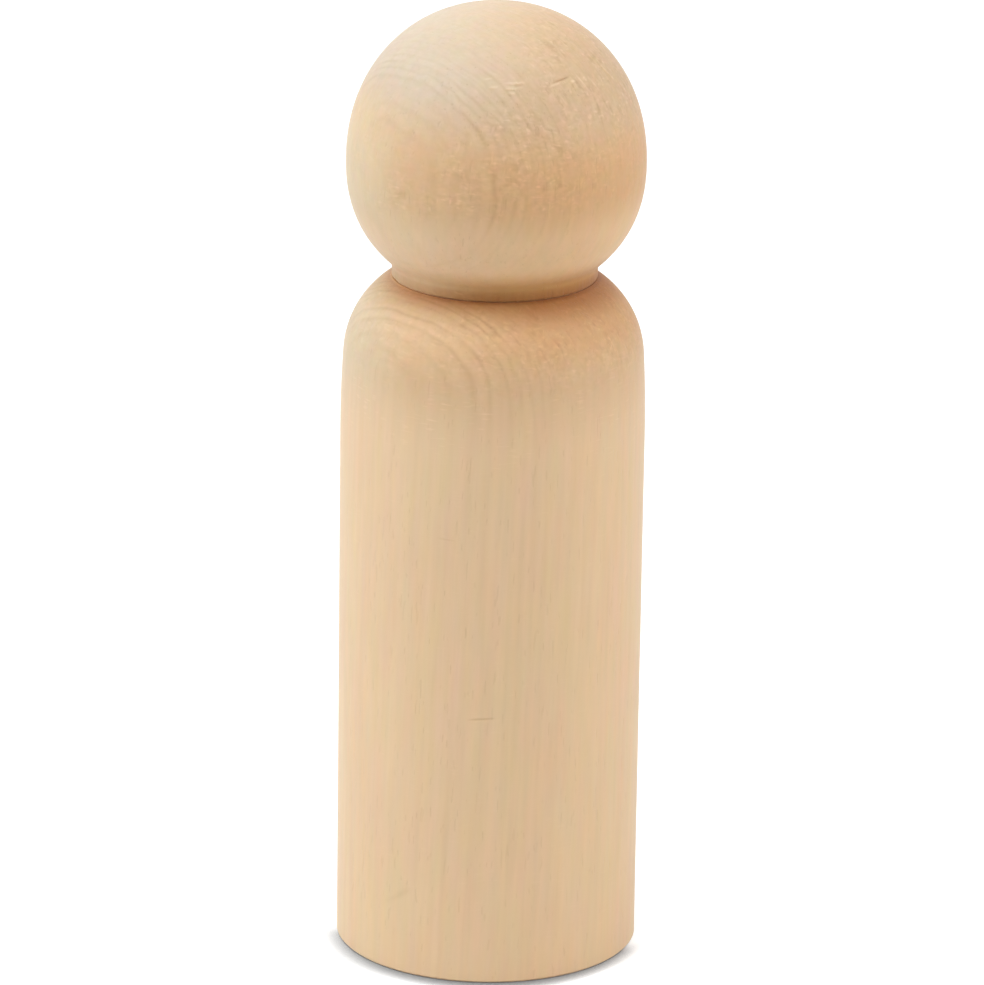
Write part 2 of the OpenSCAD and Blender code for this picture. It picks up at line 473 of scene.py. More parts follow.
def turned_piece(name, outline, marks):
    """A closed turned piece whose skin has the sanding's hollows and the marks."""
    surface = bpy.context.scene.peg_doll_surface
    sharp = sharp_marks(surface, marks)
    turns = turns_round(surface, sharp)
    skin_ends = [point[1] for sections, is_skin in outline if is_skin for s in sections for point in s]
    low, high = min(skin_ends), max(skin_ends)

    def hollow(turn, r, z):
        ends = min(1.0, (z - low) / surface.hollow_fade, (high - z) / surface.hollow_fade)
        place = Vector((r * sin(turn), -r * cos(turn), 0.0)) / surface.hollow_width
        place.z = z / surface.hollow_height
        return -surface.hollow_depth * (0.5 + 0.5 * noise.noise(place)) * max(0.0, ends)

    def marked(turn, r, z):
        near = [m for m in marks if abs(z - m.height) < m.long and abs(turn - m.turn) * r < m.long]
        return sum(mark.height_at(turn, z) for mark in near)

    def skin_step(point):
        return step_near(surface, nearest(point[1], [mark.height for mark in sharp]))

    def inside_step(point):
        return surface.hidden_step

    vertices, heights, faces, last = [], [], [], None
    for sections, is_skin in outline:
        for section in sections:
            points = thinned(section, skin_step if is_skin else inside_step)
            for i in range(1 if last else 0, len(points)):
                r, z = points[i]
                face_r, face_z = outward(points, i)
                ring = []
                for turn in turns if r > 0 else [0.0]:
                    mark = marked(turn, r, z) if is_skin else 0.0
                    out = mark + hollow(turn, r, z) if is_skin else 0.0
                    here = r + out * face_r if r > 0 else 0.0
                    ring.append(len(vertices))
                    heights.append(mark)
                    vertices.append((here * sin(turn), -here * cos(turn), z + out * face_z))
                if last:
                    faces += joined(last, ring)
                last = ring
    mesh = bpy.data.meshes.new(name)
    mesh.from_pydata(vertices, [], faces)
    mesh.attributes.new("mark", "FLOAT", "POINT").data.foreach_set("value", heights)
    mesh.shade_smooth()
    mesh.set_sharp_from_angle(angle=EDGE_TURN)
    mesh.materials.append(wood_material())
    piece = bpy.data.objects.new(name, mesh)
    bpy.context.scene.collection.objects.link(piece)
    return piece


# Shader trees


class Pattern:
    """A noise: the size of its spots along each axis, its detail, and the part of it that counts."""

    def __init__(self, size, detail=0.0, low=0.0, high=1.0):
        self.size, self.detail, self.low, self.high = size, detail, low, high


class Nodes:
    """Short calls for the nodes of one shader tree."""

    def __init__(self, material):
        material.use_nodes = True
        self.tree = material.node_tree
        self.tree.nodes.clear()

    def add(self, kind, **settings):
        """A new node with its settings."""
        made = self.tree.nodes.new(kind)
        for key, value in settings.items():
            setattr(made, key, value)
        return made

    def feed(self, socket, value):
        """Links a socket to another one, or sets its value."""
        if isinstance(value, bpy.types.NodeSocket):
            self.tree.links.new(value, socket)
        else:
            socket.default_value = value

    def math(self, operation, *values):
        """A Math node's result."""
        made = self.add("ShaderNodeMath", operation=operation)
        for socket, value in zip(made.inputs, values):
            self.feed(socket, value)
        return made.outputs[0]

    def times(self, first, *others):
        """The product of some values."""
        for other in others:
            first = self.math("MULTIPLY", first, other)
        return first

    def plus(self, base, value, amount=1.0):
        """A base plus an amount of a value."""
        return self.math("MULTIPLY_ADD", value, amount, base)

    def rest_of(self, value):
        """What a share leaves over."""
        return self.math("SUBTRACT", 1.0, value)

    def vector(self, operation, *values, output=0):
        """A Vector Math node's result."""
        made = self.add("ShaderNodeVectorMath", operation=operation)
        for socket, value in zip(made.inputs, values):
            self.feed(socket, value)
        return made.outputs[output]

    def noise(self, vector, pattern, output="Fac"):
        """A pattern's noise from 0 to 1, plain or in colour."""
        made = self.add("ShaderNodeTexNoise", noise_dimensions="3D")
        self.feed(made.inputs["Vector"], self.vector("DIVIDE", vector, pattern.size))
        self.feed(made.inputs["Scale"], 1.0)
        self.feed(made.inputs["Detail"], pattern.detail)
        return made.outputs[output]

    def between(self, value, low, high, to_low=0.0, to_high=1.0):
        """Maps a range of a value smoothly to another range, and no further."""
        made = self.add("ShaderNodeMapRange", interpolation_type="SMOOTHSTEP", clamp=True)
        for socket, amount in zip(made.inputs, (value, low, high, to_low, to_high)):
            self.feed(socket, amount)
        return made.outputs[0]

    def fading(self, value, full, gone, amount=1.0):
        """An amount that fades smoothly to nothing from one value to another."""
        return self.between(value, full, gone, amount, 0.0)

    def distance(self, first, second):
        """How far apart two values are."""
        return self.math("ABSOLUTE", self.math("SUBTRACT", first, second))

    def counted(self, noise_value, pattern, to_low=0.0, to_high=1.0):
        """Maps the part of a pattern's noise that counts to another range."""
        return self.between(noise_value, pattern.low, pattern.high, to_low, to_high)

    def pattern(self, vector, pattern, to_low=0.0, to_high=1.0):
        """A pattern, mapped from the part of its noise that counts to another range."""
        return self.counted(self.noise(vector, pattern), pattern, to_low, to_high)

    def blended(self, share, first, second):
        """A number between two others."""
        made = self.add("ShaderNodeMix", data_type="FLOAT")
        for name, value in (("Factor", share), ("A", first), ("B", second)):
            self.feed(made.inputs[name], value)
        return made.outputs[0]

    def mixed(self, share, first, second, blend="MIX"):
        """A colour mixed from two others."""
        made = self.add("ShaderNodeMixRGB", blend_type=blend)
        for socket, value in zip(made.inputs, (share, first, second)):
            self.feed(socket, (*value, 1.0) if isinstance(value, (tuple, Color)) else value)
        return made.outputs[0]

    def combined(self, x, y=0.0, z=0.0):
        """A vector or a colour from three numbers."""
        made = self.add("ShaderNodeCombineXYZ")
        for socket, value in zip(made.inputs, (x, y, z)):
            self.feed(socket, value)
        return made.outputs[0]

    def parts(self, vector):
        """The X, Y and Z of a vector."""
        made = self.add("ShaderNodeSeparateXYZ")
        self.feed(made.inputs[0], vector)
        return made.outputs

    def finish(self, shader):
        """Links a shader to the material's output."""
        output = self.add("ShaderNodeOutputMaterial")
        self.feed(output.inputs["Surface"], shader.outputs[0])


# The wood

# Patterns in the log, in mm across, across and along the fibres
FIBRES = Pattern((0.2, 0.2, 3.0), 1.0, 0.2, 0.8)
STREAKS = Pattern((0.7, 0.7, 20.0), 2.0, 0.2, 0.8)
PORES = Pattern((0.2, 0.2, 1.5))
PORE_CROWDS = Pattern((2.5, 2.5, 8.0), 1.0, 0.35, 0.65)
TORN_PATCHES = Pattern((2.2, 2.2, 2.2), 1.0, 0.3, 0.62)
RING_WAVER = Pattern((4.0, 4.0, 20.0), 2.0, 0.2, 0.8)
FLECK_WANDER = Pattern((1.1, 1.1, 1.1))
TALL_PATCHES = Pattern((2.6, 2.6, 9.0), 1.0)
ROUND_PATCHES = Pattern((1.8, 1.8, 1.8), 1.0)
TALL_MOTTLE = Pattern((1.1, 1.1, 6.0), 1.0)
ROUND_MOTTLE = Pattern((1.0, 1.0, 1.0), 1.0)

# Patterns round the pith, in mm away from it, along a ring and along the fibres
RING_DRIFT = Pattern((1.7, 1.0, 1.0), 1.0)
RING_FADES = Pattern((0.9, 6.0, 8.0), 1.0, 0.35, 0.6)
RING_BREAKS = Pattern((0.5, 1.6, 1.6), 1.0, 0.4, 0.6)
YEAR_STREAKS = Pattern((0.25, 6.0, 9.0), 1.0, 0.25, 0.75)
TORN_SPECKLE = Pattern((0.55, 0.6, 0.4), 1.0, 0.25, 0.75)
FLAT_FLECKS = Pattern((0.4, 0.95, 0.3), 0.0, 0.62, 0.86)
TALL_FLECKS = Pattern((0.4, 0.4, 0.8), 0.0, 0.66, 0.88)
DARK_FLECKS = Pattern((0.32, 2.2, 1.3), 0.0, 0.54, 0.82)

# Patterns of the turning: the first size has no use, and the others are in mm round the doll and up it
TURNING_STROKES = Pattern((1.0, 1.3, 0.2), 0.0, 0.6, 0.84)
STROKE_PATCHES = Pattern((1.0, 4.0, 3.0), 1.0, 0.35, 0.65)

# Slopes of the skin between which something changes: 0 on a wall, 1 on top, below 0 on an overhang
END_GRAIN_SLOPES = (0.2, 0.6)
# WARM_SLOPES, CROWN_SLOPES, PALE_HEAD_SLOPES and WARM_HEAD_SLOPES place painted light and shade
WARM_SLOPES = (0.1, 0.6)
CROWN_SLOPES = (0.1, 0.65)
CROWN_RING_SLOPES = (0.55, 0.8)
CALM_SLOPES = (0.1, 0.45)
LOW_HEAD_SLOPES = (0.1, 0.6)
PALE_HEAD_SLOPES = (-0.5, -0.1)
WARM_HEAD_SLOPES = (0.0, 0.4)

# Ways that the skin faces, -1 to the left and 1 to the right, between which something changes
CALM_SIDES = (0.3, 0.85)
SHOULDER_TORN_SIDES = (-0.8, 0.1)
# Half width of the border of the head's torn grain, in the same measure
TORN_BLUR = 0.15

# How much is left of what is full elsewhere
# LEFT_NECK_SHARE, LEFT_SEAM_SHARE and BEVEL_TINT_SHARE are shares of painted shade
LEFT_NECK_SHARE = 0.25
LEFT_SEAM_SHARE = 0.25
LEFT_RING_SHARE = 0.4
LEFT_TORN_SHARE = 0.25
CALM_TORN_SHARE = 0.5
SHOULDER_TORN_SHARES = (0.4, 0.8)
TORN_PATCH_SHARE = 0.25
FADED_RING_SHARE = 0.3
FAR_STROKE_SHARE = 0.2
CUT_FIBRE_SHARE = 0.3
DARK_FLECK_SHARES = (0.6, 0.8)
BEVEL_TINT_SHARE = 0.3

# How sharply rings and torn grain set in where the fibres are cut across
RING_POWER = 2.0
TORN_POWER = 3.0
# How much farther the foot's tint turns at the right than at the left
FOOT_RIGHT_REACH = 2.0
# The noise that is a pore where pores are few and where they are many, and how soft a pore's edge is
FEW_PORES = 0.76
MANY_PORES = 0.68
PORE_EDGE = 0.08
# How high the parts of the grain stand in the bump
PORE_RELIEF = -0.6
FIBRE_RELIEF = 0.4
TORN_RELIEF = 0.8
RING_RELIEF = -0.4
# How strongly the grain shows in red and in blue against green
RED_CONTRAST = 0.8
BLUE_CONTRAST = 1.3
# The fibres' noise between which the wood goes from smoothest to roughest, and by how much
ROUGH_FIBRES = (0.3, 0.7)
SMOOTHER = 0.05
ROUGHER = 0.08
# The noise between which the wood goes from yellower to pinker patches, and the middle of a noise in colour
PATCH_NOISE = (0.3, 0.7)
MIDDLE = (0.5, 0.5, 0.5)

# Growth rings that stand out: distance in mm from the doll's axis, away from the pith, and how strong
# each is on the head and on the shoulder
STRONG_RINGS = (
    (8.6, 0.5, 0.3),
    (9.4, 0.4, 0.3),
    (10.2, 0.6, 0.5),
    (10.82, 0.5, 0.75),
    (11.36, 0.45, 0.9),
    (11.9, 0.85, 0.5),
    (12.32, 0.6, 0.0),
    (12.8, 1.0, 0.85),
    (13.42, 0.4, 1.0),
    (14.1, 0.35, 0.65),
    (14.75, 0.5, 0.35),
)


class Spot:
    """Where a place of the wood lies in the log and on the doll, as sockets."""

    def __init__(self, n, look, shape):
        place = n.add("ShaderNodeTexCoord")
        log = n.add("ShaderNodeMapping", vector_type="TEXTURE")
        n.feed(log.inputs["Vector"], place.outputs["Object"])
        n.feed(log.inputs["Location"], (look.pith_x, look.pith_y, 0.0))
        n.feed(log.inputs["Rotation"], (-look.pith_lean_y, look.pith_lean_x, 0.0))
        n.feed(log.inputs["Scale"], (MM, MM, MM))
        self.grain = log.outputs[0]
        self.radius = n.vector("LENGTH", n.vector("MULTIPLY", self.grain, (1.0, 1.0, 0.0)), output=1)
        across_log = n.parts(self.grain)
        turn = n.math("ARCTAN2", across_log["Y"], across_log["X"])
        self.round = n.combined(self.radius, n.times(turn, look.turn_length), across_log["Z"])

        position = n.parts(place.outputs["Object"])
        facing = n.parts(place.outputs["Normal"])
        self.upward = facing["Z"]
        self.above_seam = n.math("SUBTRACT", position["Z"], shape.body_height)
        self.on_head = n.math("GREATER_THAN", self.above_seam, 0.0)
        self.find_side(n, look, shape, position["X"])
        self.find_strokes(n, look, shape, position)
        self.find_cut_grain(n, look, position["Z"], facing["X"])

    def find_side(self, n, look, shape, x):
        """How much of what lies at one side of the doll shows at a place."""
        # Most of these masks place painted light and shade: the lit left, the shaded right, the painted
        # shade at the neck, its foot, the groove and the seam, and the painted light at the seam's ends
        self.right = n.between(x, -look.warm_reach, look.warm_reach)
        self.lit_far_left = n.fading(x, -look.pale_to, -look.pale_from)
        self.neck_shade_share = n.between(x, -look.neck_left, look.neck_middle, LEFT_NECK_SHARE, 1.0)
        self.seam_shade_share = n.between(x, -look.seam_left, -look.seam_middle, LEFT_SEAM_SHARE, 1.0)
        self.foot_right = n.between(x, -look.foot_turn, look.foot_turn * FOOT_RIGHT_REACH)
        off_groove = n.distance(x, -look.groove_left)
        self.groove_shade_share = n.fading(off_groove, look.groove_full, look.groove_out)
        aside = n.between(n.math("ABSOLUTE", x), look.seam_side_from, shape.neck_width / 2)
        self.aside = n.times(aside, n.blended(self.right, 1.0, look.seam_side_right))
        side_share = n.between(x, -look.pale_to, -look.pale_from, LEFT_RING_SHARE, 1.0)
        crown_fade = n.between(self.upward, *CROWN_RING_SLOPES, 0.0, look.ring_crown_fade)
        crown_fade = n.times(crown_fade, self.on_head, n.rest_of(self.right))
        self.ring_share = n.times(side_share, n.rest_of(crown_fade))

    def find_strokes(self, n, look, shape, position):
        """Where a place lies on the lathe, and how clear the turning strokes are there."""
        around = n.math("ARCTAN2", position["X"], n.times(position["Y"], -1.0))
        around = n.times(around, shape.body_width / 2 / MM)
        self.lathe = n.combined(0.0, around, n.math("DIVIDE", position["Z"], MM))
        off_height = n.distance(position["Z"], look.stroke_height)
        near = n.between(off_height, 0.0, look.stroke_reach, 1.0, FAR_STROKE_SHARE)
        self.under_shoulder = n.times(near, n.pattern(self.lathe, STROKE_PATCHES))

    def find_cut_grain(self, n, look, z, to_right):
        """How far the fibres are cut across at a place, and how torn they are."""
        shoulder_cut = n.between(z, look.shoulder_from, look.shoulder_to)
        head_cut = n.between(self.upward, -look.cut_slope, 0.0)
        self.across = n.blended(self.on_head, shoulder_cut, head_cut)
        self.end_on = n.between(self.upward, *END_GRAIN_SLOPES)

        # The cutter tears the fibres on the shoulder, and on the head right of a leaning border, but less
        # at its lower right
        below_crown = n.math("MINIMUM", self.upward, look.torn_crown)
        border = n.plus(to_right, below_crown, -look.torn_lean)
        blur = (look.torn_from - TORN_BLUR, look.torn_from + TORN_BLUR)
        head_torn = n.between(border, *blur, LEFT_TORN_SHARE, 1.0)
        calm = n.times(n.between(to_right, *CALM_SIDES), n.fading(self.upward, *CALM_SLOPES))
        head_torn = n.times(head_torn, n.blended(calm, 1.0, CALM_TORN_SHARE))
        shoulder_torn = n.between(to_right, *SHOULDER_TORN_SIDES, *SHOULDER_TORN_SHARES)
        torn = n.blended(self.on_head, shoulder_torn, head_torn)
        patch = n.pattern(self.grain, TORN_PATCHES, TORN_PATCH_SHARE, 1.0)
        self.torn = n.times(torn, n.math("POWER", self.across, TORN_POWER), patch)


def growth_rings(n, spot, look):
    """How strong the rings are at a place, from 0 to 1: their dark lines, pale lines and soft bands."""
    waver = n.pattern(spot.grain, RING_WAVER, -look.ring_waver, look.ring_waver)
    axis_gap = hypot(look.pith_x, look.pith_y) / MM
    depth = n.math("ADD", n.math("SUBTRACT", spot.radius, axis_gap), waver)

    # A faint ring lies at each whole count of the ring gaps
    drift = n.times(n.noise(n.combined(spot.radius), RING_DRIFT), look.ring_drift)
    count = n.math("ADD", drift, n.math("DIVIDE", depth, look.ring_gap))
    aside = n.times(n.math("PINGPONG", count, 0.5), look.ring_gap)
    year = n.add("ShaderNodeTexWhiteNoise", noise_dimensions="1D")
    n.feed(year.inputs["W"], n.math("ROUND", count))
    strength = n.between(year.outputs["Value"], 0.0, 1.0, 0.0, look.ring_faint)
    lines = n.times(n.fading(aside, 0.0, look.ring_line), strength)
    bands = n.times(n.fading(aside, 0.0, look.ring_band), strength)
    pale_lines = 0.0
    for ring_depth, on_head, on_shoulder in STRONG_RINGS:
        amount = n.blended(spot.on_head, on_shoulder, on_head)
        aside = n.distance(depth, ring_depth)
        lines = n.math("MAXIMUM", n.fading(aside, 0.0, look.ring_line, amount), lines)
        bands = n.math("MAXIMUM", n.fading(aside, 0.0, look.ring_band, amount), bands)
        aside = n.distance(depth, ring_depth - look.ring_pale_gap)
        pale_lines = n.math("MAXIMUM", n.fading(aside, 0.0, look.ring_pale_line, amount), pale_lines)

    # Each ring fades and comes back along its run, and breaks up where the head's fibres are torn
    fade = n.pattern(spot.round, RING_FADES, FADED_RING_SHARE, 1.0)
    broken = n.pattern(spot.round, RING_BREAKS)
    whole = n.blended(n.times(spot.torn, spot.on_head), 1.0, broken)
    clear = n.times(fade, whole, spot.ring_share)
    return n.times(lines, clear), n.times(pale_lines, clear), bands


def fine_grain(n, spot, look):
    """The wood's fine grain: how light a place is against its surroundings, its height and its fibres."""
    line, pale_line, band = growth_rings(n, spot, look)
    well_across = n.math("POWER", spot.across, RING_POWER)
    line_strength = n.blended(well_across, look.ring_strength, look.ring_cut_strength)
    shade = n.plus(1.0, n.times(line, line_strength), -1.0)
    shade = n.plus(shade, pale_line, n.times(well_across, look.ring_pale_strength))
    shade = n.plus(shade, band, -look.band_strength)

    fibre = n.noise(spot.grain, FIBRES)
    fibres = n.counted(fibre, FIBRES, -look.fibre_strength, look.fibre_strength)
    fibre_share = n.plus(CUT_FIBRE_SHARE, n.rest_of(spot.across), 1.0 - CUT_FIBRE_SHARE)
    shade = n.plus(shade, fibres, fibre_share)
    shade = n.plus(shade, n.pattern(spot.grain, STREAKS, -look.streak_strength, look.streak_strength))

    pore_low = n.blended(n.pattern(spot.grain, PORE_CROWDS), FEW_PORES, MANY_PORES)
    pore = n.between(n.math("SUBTRACT", n.noise(spot.grain, PORES), pore_low), 0.0, PORE_EDGE)
    shade = n.plus(shade, pore, -look.pore_strength)

    # Torn and burnished fibre ends speckle the cut grain and lie on it as single bent flecks; the pale
    # flecks are partly the fibre ends' own colour and partly painted glints
    wander = n.noise(spot.grain, FLECK_WANDER, "Color")
    bent = n.vector("MULTIPLY_ADD", wander, (look.fleck_wander,) * 3, spot.round)
    torn = n.noise(bent, TORN_SPECKLE)
    speckle = n.counted(torn, TORN_SPECKLE, -look.torn_strength, look.torn_strength)
    shade = n.plus(shade, speckle, spot.torn)
    bright = n.math("MAXIMUM", n.pattern(bent, FLAT_FLECKS), n.pattern(bent, TALL_FLECKS))
    shade = n.plus(shade, n.times(bright, spot.torn), look.fleck_strength)
    dark = n.times(n.pattern(bent, DARK_FLECKS), spot.torn, n.blended(spot.end_on, *DARK_FLECK_SHARES))
    shade = n.plus(shade, dark, -look.fleck_strength)

    # Where the fibres end on the skin, the year's growth shows as fine streaks along the rings
    year_streak = n.pattern(spot.round, YEAR_STREAKS, -look.year_streak, look.year_streak)
    shade = n.plus(shade, year_streak, n.times(well_across, spot.end_on, spot.ring_share))

    # Under the shoulder the tool leaves fine pale strokes round the body
    strokes = n.times(n.pattern(spot.lathe, TURNING_STROKES), spot.under_shoulder)
    shade = n.plus(shade, strokes, look.stroke_strength)

    # A mark's bottom is painted darker, in a cut partly as painted shade and in a smudge as its own dirt; a
    # raised scuff is painted paler as a painted highlight
    standing_out = n.add("ShaderNodeAttribute", attribute_name="mark").outputs["Fac"]
    deepest = min(mark.relief for mark in HEAD_MARKS)
    highest = max(mark.relief for mark in HEAD_MARKS)
    shade = n.plus(shade, n.between(standing_out, deepest, 0.0, -look.mark_dark, 0.0))
    shade = n.plus(shade, n.between(standing_out, 0.0, highest, 0.0, look.mark_pale))

    relief = n.plus(n.times(fibre, FIBRE_RELIEF), pore, PORE_RELIEF)
    relief = n.plus(relief, n.times(torn, spot.torn), TORN_RELIEF)
    relief = n.plus(relief, line, RING_RELIEF)
    return shade, relief, fibre


def tinted(n, base, tint, share=None):
    """A colour with a tint, or with a share of it."""
    full = n.mixed(1.0, base, tint, "MULTIPLY")
    return full if share is None else n.mixed(share, base, full)


def turned_colour(n, spot, look):
    """The colours of side grain and cut grain, from the base to the crown, with painted light and shade laid
    over them.
    """
    # Painted light and shade: the shoulder is paler at the left, and the shoulder and crown darker and
    # warmer at the right
    shaded_right = n.times(spot.right, n.between(spot.upward, *WARM_SLOPES))
    shoulder = n.mixed(spot.lit_far_left, look.shoulder_colour, look.lit_shoulder_colour)
    shoulder = n.mixed(shaded_right, shoulder, look.shaded_shoulder_colour)
    cut = n.mixed(spot.on_head, shoulder, look.cut_colour)
    base = n.mixed(spot.across, look.side_colour, cut)
    # The crown is partly painted light: paler on top, where the light falls
    crown = n.mixed(shaded_right, look.crown_colour, look.shaded_crown_colour)
    on_crown = n.times(spot.on_head, n.between(spot.upward, *CROWN_SLOPES))
    base = n.mixed(on_crown, base, crown)

    # Painted light: the head's left is painted paler
    low = n.times(spot.on_head, n.fading(spot.upward, *LOW_HEAD_SLOPES))
    pale = n.times(spot.lit_far_left, n.between(spot.upward, *PALE_HEAD_SLOPES))
    base = n.mixed(n.times(low, pale), base, look.lit_head_colour)
    # Painted reflected light from the shoulder on the head's lower front and right
    low = n.times(spot.on_head, n.fading(spot.upward, *WARM_HEAD_SLOPES))
    return tinted(n, base, look.head_reflected_light_tint, n.times(low, spot.right))


def neck_light_and_shade(n, spot, look, shape, base):
    """Painted shade on the neck under the head, at its foot, in the groove and along the seam, and painted
    light at the seam's ends.
    """
    below = n.rest_of(spot.on_head)
    # The bevel keeps only a share of the painted shade, as its own real shade is already dark
    out_of_bevel = n.between(spot.above_seam, 0.0, shape.seam_bevel, BEVEL_TINT_SHARE, 1.0)
    out_of_bevel = n.blended(spot.on_head, 1.0, out_of_bevel)
    # Painted shade on the neck under the head, fading at the lit left
    neck = n.fading(spot.above_seam, look.neck_full, look.neck_reach)
    neck = n.times(neck, spot.on_head, out_of_bevel, spot.neck_shade_share)
    base = tinted(n, base, look.neck_shade_tint, neck)

    # Painted shade on the shoulder just below the neck
    foot = n.times(n.between(spot.above_seam, -look.neck_foot_reach, 0.0), below)
    foot_shade_tint = n.mixed(spot.foot_right, look.left_foot_shade_tint, look.right_foot_shade_tint)
    base = tinted(n, base, foot_shade_tint, foot)
    # Painted shadow in the groove, centred left of the middle
    groove = n.times(n.between(spot.above_seam, -look.groove_reach, 0.0), below, spot.groove_shade_share)
    base = tinted(n, base, look.groove_shade_tint, groove)

    # Painted shade along the seam's crease, fading at the lit left
    seam = n.times(
        n.between(spot.above_seam, -look.seam_below, 0.0),
        n.fading(spot.above_seam, 0.0, look.seam_above),
        out_of_bevel,
        spot.seam_shade_share,
    )
    base = tinted(n, base, look.seam_shade_tint, seam)
    # Painted light on the seam's left and right ends, lifting the crease's shade
    at_seam = n.fading(n.math("ABSOLUTE", spot.above_seam), 0.0, shape.seam_bevel)
    at_seam = n.times(at_seam, n.blended(spot.on_head, look.seam_side_below, 1.0), spot.aside)
    return n.mixed(at_seam, base, look.seam_side_light_colour)


def patchy_colour(n, spot, look, base):
    """A colour with yellower and pinker patches, whose red, green and blue each waver by themselves."""
    tall_patch = n.noise(spot.grain, TALL_PATCHES)
    round_patch = n.noise(spot.grain, ROUND_PATCHES)
    pink = n.between(n.blended(spot.across, tall_patch, round_patch), *PATCH_NOISE)
    tint = n.mixed(pink, look.yellow_tint, look.pink_tint)
    base = tinted(n, base, tint)

    tall_mottle = n.noise(spot.grain, TALL_MOTTLE, "Color")
    round_mottle = n.noise(spot.grain, ROUND_MOTTLE, "Color")
    mottle = n.mixed(spot.across, tall_mottle, round_mottle)
    mottle = n.vector("SUBTRACT", mottle, MIDDLE)
    mottle = n.vector("MULTIPLY_ADD", mottle, look.mottle, WHITE)
    return tinted(n, base, mottle)


def wood_material():
    """One block of wood for both pieces, drawn in the doll's own space."""
    name = "doll_wood"
    if name in bpy.data.materials:
        return bpy.data.materials[name]
    look = bpy.context.scene.peg_doll_wood
    shape = bpy.context.scene.peg_doll_shape
    material = bpy.data.materials.new(name)
    n = Nodes(material)
    spot = Spot(n, look, shape)
    shade, relief, fibre = fine_grain(n, spot, look)
    red = n.math("POWER", shade, RED_CONTRAST)
    blue = n.math("POWER", shade, BLUE_CONTRAST)
    base = turned_colour(n, spot, look)
    base = neck_light_and_shade(n, spot, look, shape, base)
    base = patchy_colour(n, spot, look, base)
    base = tinted(n, base, n.combined(red, shade, blue))
    bump = n.add("ShaderNodeBump")
    n.feed(bump.inputs["Distance"], look.grain_depth)
    n.feed(bump.inputs["Height"], relief)
    rough = n.between(fibre, *ROUGH_FIBRES, look.roughness - SMOOTHER, look.roughness + ROUGHER)

    shader = n.add("ShaderNodeBsdfPrincipled")
    n.feed(shader.inputs["Base Color"], base)
    n.feed(shader.inputs["Roughness"], rough)
    n.feed(shader.inputs["Specular IOR Level"], look.shine)
    n.feed(shader.inputs["Sheen Weight"], look.fuzz)
    n.feed(shader.inputs["Sheen Roughness"], look.fuzz_spread)
    n.feed(shader.inputs["Normal"], bump.outputs[0])
    n.finish(shader)
    return material


# The studio

# The paper's faint mottle in metres, and how dark its darkest spots are
PAPER_MOTTLE = Pattern((4 * MM, 4 * MM, 4 * MM), 2.0, 0.3, 0.7)
PAPER_DARKEST = 0.99
# Between which places the contact shadow goes from its plain reach to its reach at the right
CONTACT_SIDES = (4 * MM, 12 * MM)
CONTACT_SAMPLES = 6

# Lamps: name, setting of the power, azimuth and elevation in degrees from the front, and tint
LAMPS = (
    ("top_lamp", "top_light", 0, 88, WHITE),
    ("left_lamp", "left_light", -88, 42, (0.88, 1.0, 1.12)),
    ("right_lamp", "right_light", 88, 30, (0.98, 1.0, 1.02)),
    ("front_left_lamp", "front_left_light", -38, 66, WHITE),
    ("front_right_lamp", "front_right_light", 35, 66, WHITE),
    ("back_lamp", "back_light", -160, 30, WHITE),
)
# A lamp's distance from the middle of the doll and the side of its square, in metres
LAMP_DISTANCE = 0.6
LAMP_SIZE = 0.5
# The camera's sensor in mm, and the nearest and the farthest place that it sees in metres
SENSOR_WIDTH = 36.0
NEAREST_VIEW = 0.01
FARTHEST_VIEW = 10.0


def seen_share(n):
    """1 for what the camera, a mirror or glass sees, and 0 for the light that falls on the doll."""
    path = n.add("ShaderNodeLightPath")
    share = n.math("MAXIMUM", path.outputs["Is Camera Ray"], path.outputs["Is Glossy Ray"])
    return n.math("MAXIMUM", share, path.outputs["Is Transmission Ray"])


def paper_material(studio):
    """Matt white paper, seen so bright that only the shadow at the base shows."""
    material = bpy.data.materials.new("white_paper")
    n = Nodes(material)
    place = n.add("ShaderNodeTexCoord")
    darkest = studio.paper * PAPER_DARKEST
    paper = n.pattern(place.outputs["Object"], PAPER_MOTTLE, darkest, studio.paper)
    spot = n.parts(place.outputs["Object"])
    # Painted shadow: an ambient occlusion node darkens the paper's colour at the base, leaning towards the
    # viewer, shorter at the right and fading towards the back
    near = n.add("ShaderNodeAmbientOcclusion", samples=CONTACT_SAMPLES)
    reach = n.between(spot["X"], *CONTACT_SIDES, studio.contact_reach, studio.contact_right_reach)
    n.feed(near.inputs["Distance"], reach)
    away = n.combined(0.0, studio.contact_lean, (1.0 - studio.contact_lean**2) ** 0.5)
    n.feed(near.inputs["Normal"], away)
    contact = n.math("POWER", near.outputs["AO"], studio.contact_depth)
    back = n.plus(spot["Y"], spot["X"], studio.contact_turn)
    contact = n.blended(n.between(back, studio.contact_front, studio.contact_back), contact, 1.0)
    seen = seen_share(n)
    lit = n.times(contact, studio.paper_seen * (1.0 - studio.paper_glow))
    shade = n.times(paper, n.blended(seen, 1.0, lit))
    diffuse = n.add("ShaderNodeBsdfDiffuse")
    n.feed(diffuse.inputs["Color"], n.combined(shade, shade, shade))
    glow = n.add("ShaderNodeEmission")
    glow_strength = n.times(contact, studio.paper_seen * studio.paper_glow)
    n.feed(glow.inputs["Strength"], n.times(seen, glow_strength))
    n.feed(glow.inputs["Color"], (*WHITE, 1.0))
    both = n.add("ShaderNodeAddShader")
    n.feed(both.inputs[0], diffuse.outputs[0])
    n.feed(both.inputs[1], glow.outputs[0])
    n.finish(both)
    return material


